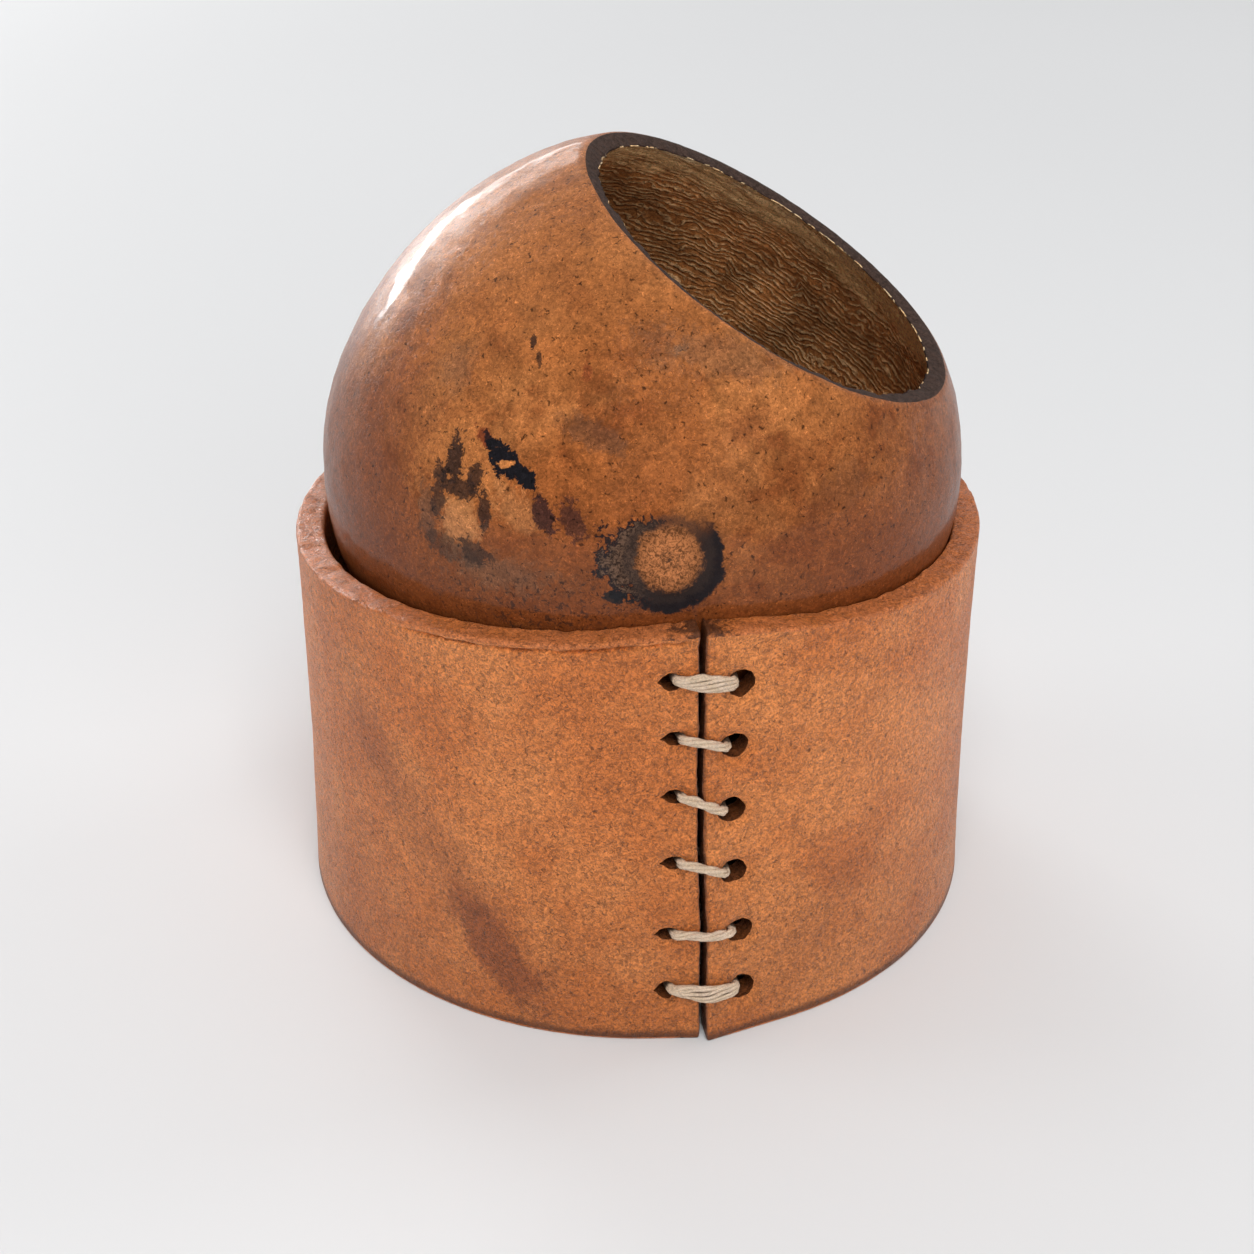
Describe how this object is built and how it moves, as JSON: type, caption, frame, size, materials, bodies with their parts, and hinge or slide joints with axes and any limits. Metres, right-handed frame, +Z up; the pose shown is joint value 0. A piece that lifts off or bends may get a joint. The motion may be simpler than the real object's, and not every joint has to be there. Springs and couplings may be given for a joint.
{
  "type": "gourd cup with leather ring stand",
  "caption": "Hollow calabash gourd drinking cup with a slanted open mouth, resting in a thick leather ring stand laced shut with thread.",
  "frame": {"origin": "bottom centre of the whole object, on the surface it stands on", "axes": "+Z up, -Y towards the laced seam of the ring, +X to the right seen from the seam"},
  "size_m": [0.08, 0.0822, 0.088],
  "materials": {
    "gourd": "Varnished calabash shell, orange-brown with dark natural stains and a pale round scar; matt black-brown cut lip; bare fibrous inside.",
    "leather": "Vegetable-tanned undyed leather, matt with fine pores, darker cut edges.",
    "thread": "Undyed waxed thread in a few plies."
  },
  "bodies": {
    "root": {"gourd_cup": "gourd", "leather_ring": "leather", "stitch_1": "thread", "stitch_2": "thread", "stitch_3": "thread", "stitch_4": "thread", "stitch_5": "thread", "stitch_6": "thread"}
  },
  "joints": []
}
